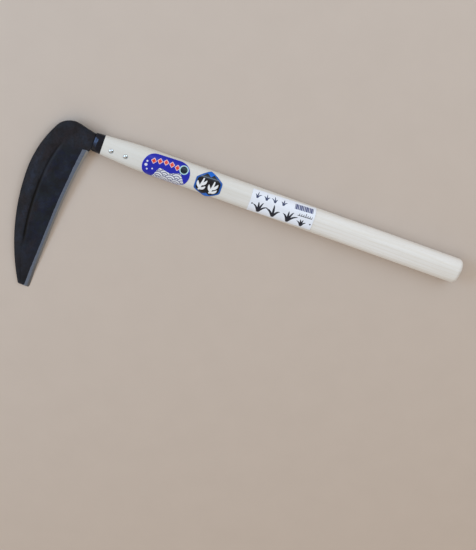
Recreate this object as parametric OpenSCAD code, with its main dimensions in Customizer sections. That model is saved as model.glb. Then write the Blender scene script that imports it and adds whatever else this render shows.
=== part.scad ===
// Grass sickle: a laminated blade set across the end of a long oval wooden handle.
// It lies on its back, with the ground side of the blade up. +X runs along the handle
// from the blade to the butt, and +Y points away from the blade's tip.
// Sizes are in millimetres. The pieces are drawn with the ferrule's front at x = 0 and
// the handle's centre line on the X axis, and laid on the floor at the end.

/* [Cutting edge] */
// Length of the cutting edge, from the heel to the tip
edge_length = 195; // [150:0.5:240]
// Length of the part of the edge near the heel that is hollowed more
heel_curve_length = 98; // [50:1:120]
// Radius of the hollow near the heel
heel_curve_radius = 810; // [500:10:1200]
// Radius of the hollow in the rest of the edge
edge_radius = 5000; // [2500:10:9000]
// How far the edge leans outwards at the heel, in degrees
heel_lean = 10.5; // [8:0.5:14]
// How far the heel's corner hangs below the middle of the handle
heel_drop = 13.1; // [12:0.1:16]
// How far the heel's corner stands in front of the ferrule
heel_gap = 1; // [0.5:0.1:4]
// Thickness left at the cutting edge
edge_land = 0.15; // [0.1:0.05:0.4]

/* [Blade outline] */
// Height of the neck above the middle of the handle, at the ferrule
neck_above = 9.2; // [8:0.1:10]
// Depth of the neck below the middle of the handle, at the ferrule
neck_below = 11; // [10:0.1:11.8]
// Length of the straight top of the neck
neck_length = 19.7; // [16:0.1:26]
// Rise of the neck's top towards the crown, in degrees
neck_rise = 14.6; // [10:0.2:17]
// Radius of the crown
crown_radius = 20.9; // [17:0.1:24]
// Turn of the crown, in degrees
crown_turn = 77.2; // [72:0.2:80]
// Radius of the shoulder behind the crown
shoulder_radius = 150; // [130:1:170]
// Turn of the shoulder, in degrees
shoulder_turn = 25.4; // [22:0.2:28]
// Width of the blunt end at the tip
tip_width = 13.9; // [10:0.1:17]
// Slant of the blunt end, in degrees
tip_slant = 12.5; // [5:0.5:25]

/* [Blade section] */
// Thickness of the neck
neck_thickness = 4; // [3.4:0.1:5]
// Thickness of the band along the back, half way down the blade
back_thickness = 3.6; // [3:0.1:4.4]
// Thickness of the back at the tip
tip_thickness = 2.4; // [2:0.1:3]
// Thickness where the grinding starts
flank_thickness = 2.2; // [1.8:0.1:2.6]
// Depth of the crease between the band and the flank
crease_depth = 0.9; // [0.3:0.1:1.1]
// Width of the ground bevel at the heel
bevel_heel = 7.4; // [5:0.1:9]
// Width of the ground bevel in the middle
bevel_middle = 5.5; // [4:0.1:7]
// Width of the ground bevel at the tip
bevel_tip = 6.2; // [4:0.1:8]
// Thickness of the hard steel welded under the edge
steel_thickness = 0.9; // [0.5:0.1:1.3]
// Width of the hard steel
steel_width = 13; // [10:0.5:14]

/* [Tang] */
// Length of the tang inside the handle
tang_length = 50; // [46:1:60]
// Width of the tang
tang_width = 15; // [12:0.5:16]
// Width of the tang at its end
tang_end_width = 10; // [7:0.5:12]
// Thickness of the tang
tang_thickness = 3.2; // [2.4:0.1:3.4]

/* [Handle] */
// Length of the handle with its ferrule
handle_length = 446.5; // [300:0.5:600]
// Distance between the two centres of the oval section
oval_spacing = 7.2; // [5:0.1:10]
// Radius of the oval just behind the ferrule
front_radius = 7.75; // [7.4:0.05:8.4]
// Radius of the oval where the front taper ends
grip_radius = 10.65; // [9.5:0.05:12]
// Radius of the oval at the butt
butt_radius = 11.4; // [10.8:0.05:13]
// Distance from the ferrule's front to the end of the front taper
taper_end = 50; // [45:1:80]
// Length over which the front taper runs out into the grip
taper_blend = 26; // [14:1:34]
// Radius of the rounded edge at the butt
butt_rounding = 5; // [2:0.5:8]
// Chamfer of the wood's shoulder behind the ferrule
shoulder_chamfer = 0.35; // [0.1:0.05:0.6]

/* [Ferrule] */
// Length of the ferrule
ferrule_length = 10.5; // [9:0.1:16]
// Radius of the oval at the ferrule's front
ferrule_front_radius = 7.05; // [6.8:0.05:7.3]
// Radius of the oval at the ferrule's rear
ferrule_rear_radius = 7.65; // [7.4:0.05:7.9]
// Wall of the ferrule
ferrule_wall = 0.8; // [0.6:0.1:1]
// Radius of the ferrule's rounded front rim
ferrule_rim = 1.8; // [1:0.1:2.2]

/* [Rivets] */
// Distance of the first rivet behind the ferrule's front
first_rivet = 21.5; // [18:0.5:24]
// Distance between the rivets
rivet_spacing = 16.5; // [12:0.5:18]
// How far the rivets lie below the middle of the handle
rivet_drop = 0.6; // [0:0.1:1.2]
// Diameter of the rivet heads
head_diameter = 5.4; // [5:0.1:6]
// Height of the rivet heads
head_height = 1.4; // [1:0.1:1.8]
// Depth of the seat under each head, in the middle
head_seat = 0.4; // [0.3:0.05:0.6]
// Outer diameter of the tubular half of a rivet
tube_diameter = 4.4; // [4:0.1:4.6]
// Diameter of the solid half of a rivet
shank_diameter = 3; // [2.4:0.1:3.2]

/* [Labels] */
// Thickness of the label film
label_thickness = 0.15; // [0.1:0.05:0.3]
// Distance of the oval label's middle behind the ferrule's front
oval_label_at = 84.5; // [82:0.5:90]
// Length of the oval label
oval_label_length = 54; // [40:1:56]
// Height of the oval label, measured round the handle
oval_label_height = 32; // [20:1:34]
// Distance of the six-sided label's middle behind the ferrule's front
six_label_at = 134.2; // [131:0.5:140]
// Length of the six-sided label
six_label_length = 30; // [20:1:32]
// Height of the six-sided label, measured round the handle
six_label_height = 37; // [24:1:38]
// Distance of the paper label's middle behind the ferrule's front
paper_label_at = 222; // [210:1:240]
// Length of the paper label
paper_label_length = 76; // [50:1:100]
// Height of the paper label, measured round the handle
paper_label_height = 29; // [20:1:30]
// How far round the handle the paper label's middle sits from the top
paper_label_shift = 3.2; // [0:0.1:4]
// Tilt of the labels along the handle, in degrees
label_tilt = 3; // [0:0.5:4]

/* [Fits] */
// Clearance between the tang and what it passes through, on each side
tang_clearance = 0.15; // [0.05:0.05:0.3]
// Clearance of the ferrule on its tenon, and of the rivets in their holes
close_clearance = 0.05; // [0.02:0.01:0.1]

/* [Hidden] */
$fn = 96;
TURN = 180 / PI;
// Longer than any cut through the handle has to be
CUT = 20;

half_spacing = oval_spacing / 2;
// Rise of the band's middle, and radius of the forged corners
band_bulge = 0.25;
forged_round = 0.9;
// How far past the start of the shoulder the section from the heel meets the back
heel_section = 8;
// Distance along the edge that lies beside the shoulder
shoulder_foot = 38;
// Distance from the heel at which the bevel and the hard steel start
steel_from = 1.2;
// The hard steel reaches no further than this share of the blade's width
steel_share = 0.62;
// The end of the tang: where it starts to taper, and the cut of its corners
tang_taper = 0.6;
tang_corner = 2;
tang_root = 2;
// Spare depth of the slot past the tang's end
slot_spare = 2;
// How far the stud stays short of the bottom of its bore, and the metal left behind the bore
stud_gap = 1;
cap_floor = 2;
// How far round the handle the first two labels sit from the top
oval_label_shift = 0.9;
six_label_shift = 0.5;
// Thickness of the glue under the labels
label_bond = 0.08;
// Shape of the labels: length of an oval's end, and half length of an upright side, by height
oval_end = 0.34;
six_side = 0.18;

// A point on an arc that starts at a point, heads one way and turns left
function arc_centre(start, heading, radius) = start + radius * [-sin(heading), cos(heading)];
function arc_point(start, heading, radius, distance) =
    let (angle = heading + distance / radius * TURN)
    arc_centre(start, heading, radius) + radius * [sin(angle), -cos(angle)];

// The cutting edge, measured from the heel
heel = [-heel_gap, -heel_drop];
heel_heading = 270 - heel_lean;
edge_bend = arc_point(heel, heel_heading, heel_curve_radius, heel_curve_length);
edge_bend_heading = heel_heading + heel_curve_length / heel_curve_radius * TURN;
function edge_at(distance) = distance < heel_curve_length
    ? arc_point(heel, heel_heading, heel_curve_radius, distance)
    : arc_point(edge_bend, edge_bend_heading, edge_radius, distance - heel_curve_length);
tip = edge_at(edge_length);

// The foot of each section of the blade runs down the neck and then along the edge
neck_foot = [0, -neck_below];
neck_foot_length = norm(heel - neck_foot);
function foot_at(distance) = distance < 0
    ? heel + (neck_foot - heel) * -distance / neck_foot_length
    : edge_at(distance);

// The back: a straight neck, the crown, the shoulder, and one long arc to the tip
neck_top = [0, neck_above];
neck_heading = 180 - neck_rise;
crown_start = neck_top + neck_length * [cos(neck_heading), sin(neck_heading)];
crown_length = crown_radius * crown_turn / TURN;
shoulder_start = arc_point(crown_start, neck_heading, crown_radius, crown_length);
shoulder_heading = neck_heading + crown_turn;
shoulder_length = shoulder_radius * shoulder_turn / TURN;
long_start = arc_point(shoulder_start, shoulder_heading, shoulder_radius, shoulder_length);
long_heading = shoulder_heading + shoulder_turn;
tip_corner = tip + tip_width * [-cos(tip_slant), sin(tip_slant)];
long_chord = tip_corner - long_start;
long_angle = atan2(long_chord[1], long_chord[0]) + 360 - long_heading;
long_radius = norm(long_chord) / (2 * sin(long_angle));
long_length = 2 * long_angle / TURN * long_radius;
crown_from = neck_length;
shoulder_from = crown_from + crown_length;
long_from = shoulder_from + shoulder_length;
back_length = long_from + long_length;
function back_at(distance) = distance < crown_from
    ? neck_top + distance * [cos(neck_heading), sin(neck_heading)]
    : distance < shoulder_from
    ? arc_point(crown_start, neck_heading, crown_radius, distance - crown_from)
    : distance < long_from
    ? arc_point(shoulder_start, shoulder_heading, shoulder_radius, distance - shoulder_from)
    : arc_point(long_start, long_heading, long_radius, distance - long_from);

// Sections of the blade, each as its distance along the back and along the foot
heel_back = shoulder_from + heel_section;
function steps(from, to, count) = [for (i = [0 : count - 1]) from + (to - from) * i / count];
function back_beside(foot) = foot < shoulder_foot
    ? heel_back + foot / shoulder_foot * (long_from - heel_back)
    : long_from + (foot - shoulder_foot) / (edge_length - shoulder_foot) * long_length;
neck_sections = [for (d = concat(steps(0, crown_from, 3), steps(crown_from, shoulder_from, 9),
        steps(shoulder_from, heel_back, 2), [heel_back]))
        [d, -neck_foot_length * (1 - d / heel_back)]];
blade_sections = [for (d = concat([steel_from, 3, 6, 10], steps(15, shoulder_foot, 4),
    steps(shoulder_foot, edge_length, 16), [edge_length])) [back_beside(d), d]];
sections = concat(neck_sections, blade_sections);

// Sizes of a section: its width, how far its band has grown, and its heights
function clamp(x) = max(0, min(1, x));
function section_width(s) = norm(foot_at(s[1]) - back_at(s[0]));
function along(s) = clamp(s[1] / edge_length);
function band(s) = clamp((s[0] - neck_length) / (shoulder_from - neck_length));
function fade(s) = clamp((1 - along(s)) * 4);
function bevel_width(s) = let (u = along(s))
    bevel_heel * (1 - u) * (1 - 2 * u) + 4 * bevel_middle * u * (1 - u) + bevel_tip * u * (2 * u - 1);
function spine(s) = neck_thickness + (back_thickness - neck_thickness) * band(s)
    + (tip_thickness - back_thickness) * pow(along(s), 2);
function flank(s) = let (thin = clamp((s[0] - neck_length) / (heel_back - neck_length)))
    neck_thickness + (flank_thickness * (1 - 0.15 * along(s)) - neck_thickness) * thin;

// The top across a section, from the band to the bevel: the share of the width,
// the share of the way down to the flank, and the share of the crease's depth
across = [[0.275, 0.05, 0], [0.335, 0.45, 0.6], [0.395, 0.55, 0.3], [0.62, 0.8, 0.1]];
band_middle = 0.165;
function top_profile(s) = let (width = section_width(s), full = spine(s), low = flank(s)) concat(
    [for (a = [0, 45, 90]) [forged_round * (1 - cos(a)), full - forged_round * (1 - sin(a))]],
    [[band_middle * width, full + band_bulge * band(s)]],
    [for (c = across) [
        min(c[0] * width, width - bevel_width(s) - forged_round),
        full + (low - full) * c[1] - crease_depth * c[2] * band(s) * fade(s)
    ]],
    [[width - bevel_width(s), low]]
);

// The hard steel: how far it reaches from the edge, and where its top comes out on the bevel
function steel_reach(s) = min(steel_width, steel_share * section_width(s));
function steel_on_bevel(s) = bevel_width(s) * (steel_thickness - edge_land) / (flank(s) - edge_land);
function edge_height(s) = s[1] < steel_from ? flank(s) - forged_round : edge_land;

// A whole section, the body's section over the bed of the hard steel, and the steel's own
function whole_profile(s) = let (
    width = section_width(s),
    on = steel_on_bevel(s),
    side = edge_height(s)
) concat(top_profile(s), [
    [width - on, side + (flank(s) - side) * on / bevel_width(s)],
    [width, side], [width, 0], [0, 0]
]);
function bed_corner(s) = [section_width(s) - steel_reach(s), steel_thickness];
function bedded_profile(s) = let (width = section_width(s)) concat(top_profile(s), [
    [width - steel_on_bevel(s), steel_thickness], bed_corner(s), [width - steel_reach(s), 0], [0, 0]
]);
function steel_profile(s) = let (width = section_width(s)) [
    bed_corner(s), [width - steel_on_bevel(s), steel_thickness],
    [width, edge_land], [width, 0], [width - steel_reach(s), 0]
];

// A ring of points: a profile set up on the line of its section
function ring(s, profile) = let (
    start = back_at(s[0]),
    way = (foot_at(s[1]) - start) / section_width(s)
) [for (p = profile) [each (start + way * p[0]), p[1]]];

// Skins of triangles between rows, which are lists of places in the list of points
function flatten(lists) = [for (list = lists, item = list) item];
function backwards(list) = [for (i = [len(list) - 1 : -1 : 0]) list[i]];
function row(from, count) = [for (i = [0 : count - 1]) from + i];
function skins(rows, open = -1) = [
    for (r = [0 : len(rows) - 2], k = [0 : len(rows[r]) - 1], half = [0, 1]) if (k != open)
        let (next = (k + 1) % len(rows[r]))
        half == 0
            ? [rows[r][k], rows[r][next], rows[r + 1][next]]
            : [rows[r][k], rows[r + 1][next], rows[r + 1][k]]
];

// The blade turned about the handle's centre line, so that its tip meets the floor
taper_slope = (butt_radius - grip_radius) / (handle_length - butt_rounding - taper_end);
function back_line(x) = -(grip_radius + taper_slope * (x - taper_end));
half_neck = neck_thickness / 2;
blade_set = asin(-back_line(tip[0]) / norm([tip[1], half_neck])) - atan2(half_neck, -tip[1]);
module in_blade_plane() {
    rotate([blade_set, 0, 0])
        translate([0, 0, -half_neck])
            children();
}

// The whole tool laid on the floor, with the middle of its outer box over the origin
tilt = atan(taper_slope);
function laid(p) = [p[0] * cos(tilt) - p[2] * sin(tilt), p[1], p[2] * cos(tilt) + p[0] * sin(tilt)];
blade_outline = [for (s = sections, p = ring(s, whole_profile(s)))
    laid([p[0],
        p[1] * cos(blade_set) - (p[2] - half_neck) * sin(blade_set),
        p[1] * sin(blade_set) + (p[2] - half_neck) * cos(blade_set)])];
left_end = min([for (p = blade_outline) p[0]]);
right_end = laid([handle_length, 0, -(butt_radius - butt_rounding)])[0];
low_side = min([for (p = blade_outline) p[1]]);
high_side = max(half_spacing + butt_radius, max([for (p = blade_outline) p[1]]));
floor_height = laid([0, 0, back_line(0)])[2];
middle = [(left_end + right_end) / 2, (low_side + high_side) / 2];
module laid_down() {
    translate([-middle[0], -middle[1], -floor_height])
        rotate([0, -tilt, 0])
            children();
}

// A solid of oval section along X, from a profile of [distance, radius] points
module oval_spindle(profile) {
    ends = [[profile[len(profile) - 1][0], 0], [profile[0][0], 0]];
    outline = concat(profile, ends);
    for (side = [0, 1])
        mirror([0, side, 0])
            translate([0, half_spacing, 0])
                rotate([0, 90, 0])
                    rotate_extrude(angle = 180)
                        polygon([for (p = outline) [p[1], p[0]]]);
    rotate([90, 0, 0])
        linear_extrude(oval_spacing, center = true)
            polygon(concat(
                profile,
                [for (i = [len(profile) - 1 : -1 : 0]) [profile[i][0], -profile[i][1]]]
            ));
}

// The handle's radius: a straight front taper, a short blend and a nearly even grip
front_slope = (grip_radius - front_radius) / (taper_end - ferrule_length);
blend_from = taper_end - taper_blend / 2;
function handle_radius(x) = let (past = x - blend_from)
    past < 0 ? front_radius + front_slope * (x - ferrule_length)
    : past < taper_blend ? front_radius + front_slope * (x - ferrule_length)
        + (taper_slope - front_slope) * past * past / (2 * taper_blend)
    : grip_radius + taper_slope * (x - taper_end);
blend_profile = [for (i = [0 : 6]) let (x = blend_from + taper_blend * i / 6) [x, handle_radius(x)]];
butt_profile = [for (a = [0 : 15 : 90])
    [handle_length - butt_rounding * (1 - sin(a)), butt_radius - butt_rounding * (1 - cos(a))]];
function grow(profile, by) = [for (p = profile) [p[0], p[1] + by]];

// The ferrule's outside and the tenon inside it
ferrule_slope = (ferrule_rear_radius - ferrule_front_radius) / ferrule_length;
function ferrule_radius(x) = ferrule_front_radius + ferrule_slope * x;
rim_inner = max(ferrule_rim - ferrule_wall, 0.2);
function rounded_front(from, rim, inset) = [for (i = [0 : 5]) let (a = 90 * i / 5)
    [from + rim * (1 - cos(a)), ferrule_radius(from + rim) - inset - rim * (1 - sin(a))]];
tenon_inset = ferrule_wall + close_clearance;

// Pieces

// Whole sections down to the start of the steel, a step there, and bedded sections to the tip.
// The flat underside is one face: along the feet of the sections and back along the back.
module iron_body() {
    start = blade_sections[0];
    whole = [for (s = concat(neck_sections, [start])) ring(s, whole_profile(s))];
    bed = ring(start, [bed_corner(start), [bed_corner(start)[0], 0]]);
    bedded = [for (i = [1 : len(blade_sections) - 1])
        ring(blade_sections[i], bedded_profile(blade_sections[i]))];
    count = len(whole[0]);
    step = (len(whole) - 1) * count;
    bed_at = step + count;
    whole_rows = [for (i = [0 : len(whole) - 1]) row(i * count, count)];
    bedded_rows = concat(
        [concat(row(step, count - 3), [bed_at, bed_at + 1, step + count - 1])],
        [for (i = [0 : len(bedded) - 1]) row(bed_at + 2 + i * count, count)]
    );
    feet = [for (r = concat(whole_rows, bedded_rows)) r[count - 2]];
    backs = concat(
        [for (r = whole_rows) r[count - 1]],
        [for (i = [1 : len(bedded)]) bedded_rows[i][count - 1]]
    );
    polyhedron(
        points = flatten(concat(whole, [bed], bedded)),
        faces = concat(
            [backwards(whole_rows[0])],
            skins(whole_rows, count - 2),
            [concat(row(step + count - 4, 3), [bed_at + 1, bed_at])],
            skins(bedded_rows, count - 2),
            [bedded_rows[len(bedded)]],
            [concat(backs, backwards(feet))]
        )
    );
}

module hard_steel() {
    rings = [for (s = blade_sections) ring(s, steel_profile(s))];
    count = len(rings[0]);
    rows = [for (i = [0 : len(rings) - 1]) row(i * count, count)];
    polyhedron(
        points = flatten(rings),
        faces = concat([backwards(rows[0])], skins(rows), [rows[len(rows) - 1]])
    );
}

module rivet_places() {
    for (x = rivets)
        translate([x, -rivet_drop, 0])
            children();
}

module tang() {
    half = tang_width / 2;
    end_half = tang_end_width / 2;
    sides = [
        [-tang_root, half], [tang_length * tang_taper, half],
        [tang_length - tang_corner, end_half], [tang_length, end_half - tang_corner]
    ];
    translate([0, -rivet_drop, (neck_thickness - tang_thickness) / 2])
        linear_extrude(tang_thickness)
            polygon(concat(sides, [for (p = backwards(sides)) [p[0], -p[1]]]));
}

module blade_body() {
    color("#2a2c33")
        laid_down()
            difference() {
                in_blade_plane() {
                    iron_body();
                    tang();
                }
                rivet_places()
                    cylinder(d = tube_diameter + 2 * close_clearance, h = 2 * CUT, center = true);
            }
}

module edge_steel() {
    color("#6e7178")
        laid_down()
            in_blade_plane()
                hard_steel();
}

module tang_slot(length) {
    opening = tang_width + 2 * tang_clearance;
    thickness = tang_thickness + 2 * tang_clearance;
    in_blade_plane()
        translate([-1, -rivet_drop - opening / 2, (neck_thickness - thickness) / 2])
            cube([length + 1, opening, thickness]);
}

module ferrule() {
    color("#17181b")
        laid_down()
            difference() {
                oval_spindle(concat(
                    rounded_front(0, ferrule_rim, 0),
                    [[ferrule_length, ferrule_rear_radius]]
                ));
                oval_spindle(concat(
                    rounded_front(ferrule_wall, rim_inner, ferrule_wall),
                    [[ferrule_length + 1, ferrule_radius(ferrule_length + 1) - ferrule_wall]]
                ));
                tang_slot(CUT);
            }
}

module handle() {
    tenon_from = ferrule_wall + close_clearance;
    shoulder_at = ferrule_length + close_clearance;
    color("#ddd6c6")
        laid_down()
            difference() {
                union() {
                    oval_spindle(concat(
                        rounded_front(tenon_from, rim_inner, tenon_inset),
                        [[shoulder_at + 1, ferrule_radius(shoulder_at + 1) - tenon_inset]]
                    ));
                    oval_spindle(concat(
                        [[shoulder_at, front_radius - shoulder_chamfer],
                            [shoulder_at + shoulder_chamfer, front_radius]],
                        blend_profile,
                        butt_profile
                    ));
                }
                tang_slot(tang_length + slot_spare);
                rivet_places()
                    cylinder(d = tube_diameter + 2 * close_clearance, h = 2 * CUT, center = true);
                for (x = rivets, side = [0, 1])
                    mirror([0, 0, side])
                        translate([x, -rivet_drop, rivet_seat(x)])
                            cylinder(d = head_diameter + 2 * close_clearance, h = CUT);
            }
}

// Rivets: a stud with its head on the front, in the tube of a cap on the back
rivets = [first_rivet, first_rivet + rivet_spacing];
function rivet_seat(x) = handle_radius(x) - head_seat;

module dome() {
    radius = (pow(head_diameter / 2, 2) + pow(head_height, 2)) / (2 * head_height);
    intersection() {
        translate([0, 0, head_height - radius])
            sphere(radius);
        cylinder(d = head_diameter, h = head_height + 1);
    }
}

module rivet_stud(x) {
    seat = rivet_seat(x);
    shank_end = -seat + cap_floor + stud_gap;
    color("#d6d8da")
        laid_down()
            translate([x, -rivet_drop, 0]) {
                translate([0, 0, seat])
                    dome();
                translate([0, 0, shank_end])
                    cylinder(d = shank_diameter, h = seat - shank_end + head_height / 2);
            }
}

module rivet_cap(x) {
    seat = rivet_seat(x);
    color("#d6d8da")
        laid_down()
            translate([x, -rivet_drop, 0])
                mirror([0, 0, 1])
                    difference() {
                        union() {
                            translate([0, 0, seat])
                                dome();
                            translate([0, 0, -seat + close_clearance])
                                cylinder(d = tube_diameter, h = 2 * seat);
                        }
                        translate([0, 0, -seat])
                            cylinder(d = shank_diameter + 2 * close_clearance, h = 2 * seat - cap_floor);
                    }
}

module front_rivet_stud() {
    rivet_stud(rivets[0]);
}

module front_rivet_cap() {
    rivet_cap(rivets[0]);
}

module rear_rivet_stud() {
    rivet_stud(rivets[1]);
}

module rear_rivet_cap() {
    rivet_cap(rivets[1]);
}

// Labels: thin films that follow the handle, cut to their outline from above

// A distance round the handle from the top of the oval, as a sideways position
function sideways(round, radius) = let (turn = max(abs(round) - half_spacing, 0) / radius * TURN)
    sign(round) * (min(abs(round), half_spacing) + radius * sin(min(turn, 89)));
function on_handle(outline, at, shift) = [for (p = outline)
    let (x = at + p[0] * cos(label_tilt) - p[1] * sin(label_tilt),
        round = shift + p[0] * sin(label_tilt) + p[1] * cos(label_tilt))
    [x, sideways(round, handle_radius(x))]];
module film(outline, at, shift) {
    ground = concat(blend_profile, [butt_profile[0]]);
    laid_down()
        intersection() {
            difference() {
                oval_spindle(grow(ground, label_bond + label_thickness));
                oval_spindle(grow(ground, label_bond));
            }
            linear_extrude(2 * CUT)
                polygon(on_handle(outline, at, shift));
        }
}

// An oval with straight sides and half an ellipse at each end, a six-sided one and a plain one
function oval_outline(length, height) = let (end = height * oval_end)
    [for (i = [0 : 33]) let (side = i < 17 ? 1 : -1, a = (i % 17) * 180 / 16 - 90)
        side * [length / 2 - end + end * cos(a), height / 2 * sin(a)]];
function six_outline(length, height) = [for (p = [
    [0.5, -six_side], [0.5, six_side], [0, 0.5], [-0.5, six_side], [-0.5, -six_side], [0, -0.5]
]) [p[0] * length, p[1] * height]];
function paper_outline(length, height) = [for (p = [[1, -1], [1, 1], [-1, 1], [-1, -1]])
    [p[0] * length, p[1] * height] / 2];

module oval_label() {
    color("#2f28b8")
        film(oval_outline(oval_label_length, oval_label_height), oval_label_at, oval_label_shift);
}

module six_sided_label() {
    color("#1f6fd0")
        film(six_outline(six_label_length, six_label_height), six_label_at, six_label_shift);
}

module paper_label() {
    color("#e4e6ee")
        film(paper_outline(paper_label_length, paper_label_height), paper_label_at, paper_label_shift);
}

blade_body();
edge_steel();
ferrule();
handle();
front_rivet_stud();
front_rivet_cap();
rear_rivet_stud();
rear_rivet_cap();
oval_label();
six_sided_label();
paper_label();
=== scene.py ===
"""Looks for the grass sickle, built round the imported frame.

Shapes are worked out in millimetres in the maker's frame: the ferrule's front at x = 0, the
handle's centre line on the X axis, and the crown of the blade at +y. laid() lays them down in
the frame's metres. The camera, floor and lamps come last.
"""

import bmesh
import bpy
import numpy as np
from mathutils import Matrix, Vector


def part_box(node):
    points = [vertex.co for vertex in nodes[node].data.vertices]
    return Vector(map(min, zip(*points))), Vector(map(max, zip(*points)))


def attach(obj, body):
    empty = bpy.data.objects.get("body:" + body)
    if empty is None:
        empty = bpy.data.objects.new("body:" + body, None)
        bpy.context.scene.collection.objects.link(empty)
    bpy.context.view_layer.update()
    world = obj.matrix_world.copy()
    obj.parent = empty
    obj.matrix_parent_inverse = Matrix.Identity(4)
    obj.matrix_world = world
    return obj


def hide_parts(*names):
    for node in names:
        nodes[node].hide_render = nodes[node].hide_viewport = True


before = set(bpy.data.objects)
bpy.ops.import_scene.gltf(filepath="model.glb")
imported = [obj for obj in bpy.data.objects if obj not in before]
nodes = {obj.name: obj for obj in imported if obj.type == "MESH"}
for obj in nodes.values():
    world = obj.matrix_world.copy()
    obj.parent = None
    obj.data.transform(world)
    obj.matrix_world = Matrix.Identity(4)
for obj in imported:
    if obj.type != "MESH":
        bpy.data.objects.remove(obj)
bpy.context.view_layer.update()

# Sizes, in millimetres and degrees, and a millimetre in the frame's metres

MM = 0.001

# The cutting edge, an arc near the heel and a flatter one beyond it
EDGE_LENGTH, HEEL_CURVE, HEEL_RADIUS, EDGE_RADIUS = 195.0, 98.0, 810.0, 5000.0
HEEL, EDGE_HEADING, EDGE_LAND = np.array([-1.0, -13.1]), 259.5, 0.15
# The neck, and the crown and the shoulder that follow it along the back
NECK_TOP, NECK_FOOT = np.array([0.0, 9.2]), np.array([0.0, -11.0])
NECK_LENGTH, NECK_HEADING = 19.7, 165.4
CROWN_RADIUS, CROWN_TURN = 20.9, 77.2
SHOULDER_RADIUS, SHOULDER_TURN = 150.0, 25.4
# Where the sections stand: the heel's lies this far past the crown on the back, and the
# shoulder's end faces this distance along the edge
HEEL_PAST_CROWN, SHOULDER_FOOT = 8.0, 38.0
# The blunt end, the edge's flare towards it and the wear of its corner
TIP_WIDTH, TIP_SLANT = 13.9, 12.5
TIP_FLARE, FLARE_FROM, FLARE_TO = 0.5, 168.0, 188.0
TIP_CORNER, CORNER_FROM = 1.2, 192.4
# Thicknesses of the blade, with the share that its flank loses towards the tip
NECK_THICK, BACK_THICK, TIP_THICK = 4.0, 3.6, 2.4
FLANK_THICK, FLANK_THINS = 2.2, 0.15
# Widths of the bevel, and the straight line across the heel where the wheel stopped
BEVEL_HEEL, BEVEL_MIDDLE, BEVEL_TIP = 7.4, 5.5, 6.2
GROUND_END, GROUND_FADE = np.array([[-9.7, -13.5], [0.3, -11.9]]), (-0.3, 0.7)
# The hard steel, as a width and as a share of the blade's, and its start along the edge
STEEL_THICK, STEEL_WIDTH, STEEL_SHARE, STEEL_FROM = 0.9, 13.0, 0.62, 1.2
# The crease: its place across the blade and that place's drift, its depth, its widths towards
# the back and the edge, and where it sets in and runs out along the edge
CREASE_SHARE, CREASE_DRIFT, DRIFT_LENGTH = 0.315, 0.055, 110.0
CREASE_DEEP, CREASE_UPPER, CREASE_LOWER = 0.95, 1.1, 1.8
CREASE_SETS_IN, CREASE_RUNS_OUT = (1.0, 12.0), (142.0, 118.0)
# The share of the upper face's fall that comes at the crease, and between which shares of the
# width from it
FALL_SHARE, FALL_BETWEEN = 0.46, (-0.1, 0.01)
# The rounded band along the back: its share of the width, its rise and how pointed that is
BAND_TOP, BAND_RISE, BAND_POWER = 0.29, 0.3, 1.3
# The round of forged edges, and the forging's dents: width, waves, seed and depth
FORGED_ROUND = 0.9
DENTS = ((26, 6, 3, 0.09), (9, 4, 5, 0.03))

# The handle's oval: two round sides, whose radius changes along it, and straight joins
HANDLE_LENGTH, HALF_SPACING = 446.5, 3.6
FRONT_RADIUS, GRIP_RADIUS, BUTT_RADIUS = 7.75, 10.65, 11.4
TAPER_END, TAPER_BLEND, BUTT_ROUNDING = 50.0, 26.0, 5.0
# The ferrule's cup: half heights, wall, the round of its sides, and its front slope
FERRULE_LENGTH, CUP_FRONT, CUP_REAR, CUP_WALL, CUP_RIM = 10.5, 7.05, 7.65, 0.8, 1.8
SLOPE_LONG, SLOPE_EVEN, SLOPE_RATE, FRONT_ROUND = 6.0, 3.0, 0.5, 0.7
# Half the height and half the width of the tang's slot, the tenon's play in the cup, and how
# far in front of the ferrule the tang starts
SLOT_HIGH, SLOT_WIDE, TENON_PLAY, TANG_FRONT = 2.0, 8.2, 0.15, 0.5
SHARP_ANGLE, MERGE_WITHIN = 32.0, 1e-7

# The labels: their tilt, film and glue, their middles along the handle and round it, and the
# outlines of the oval and the paper one
LABEL_TILT, FILM, GLUE = 3.0, 0.15, 0.08
OVAL_AT, SIX_AT, PAPER_AT = (84.5, 0.9), (134.2, 0.5), (222.0, 3.2)
OVAL_HALF, OVAL_ROUND, OVAL_TALL = 27.0, 15.0, 15.7
PAPER_SIZE = 76.0, 29.0


# The maker's frame

def arc(start, heading, radius, distance):
    """The point at a distance along an arc that leaves start on a heading and turns left:
    the centre is a radius to the left of the start, and the point turns round it."""
    h = np.radians(heading)
    centre = np.asarray(start) + radius * np.array([-np.sin(h), np.cos(h)])
    turn = h + np.asarray(distance) / radius
    return centre + radius * np.stack([np.sin(turn), -np.cos(turn)], -1)


def edge_at(d):
    """The cutting edge at a distance from the heel: the arc near the heel, then the flatter
    one, which leaves it on the same heading."""
    bend = arc(HEEL, EDGE_HEADING, HEEL_RADIUS, HEEL_CURVE)
    bend_heading = EDGE_HEADING + np.degrees(HEEL_CURVE / HEEL_RADIUS)
    d = np.asarray(d, float)
    near = arc(HEEL, EDGE_HEADING, HEEL_RADIUS, d)
    far = arc(bend, bend_heading, EDGE_RADIUS, d - HEEL_CURVE)
    return np.where((d < HEEL_CURVE)[..., None], near, far)


def neck_back(d):
    """The straight top of the neck at a distance from the ferrule."""
    h = np.radians(NECK_HEADING)
    return NECK_TOP + np.asarray(d)[..., None] * np.array([np.cos(h), np.sin(h)])


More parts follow.
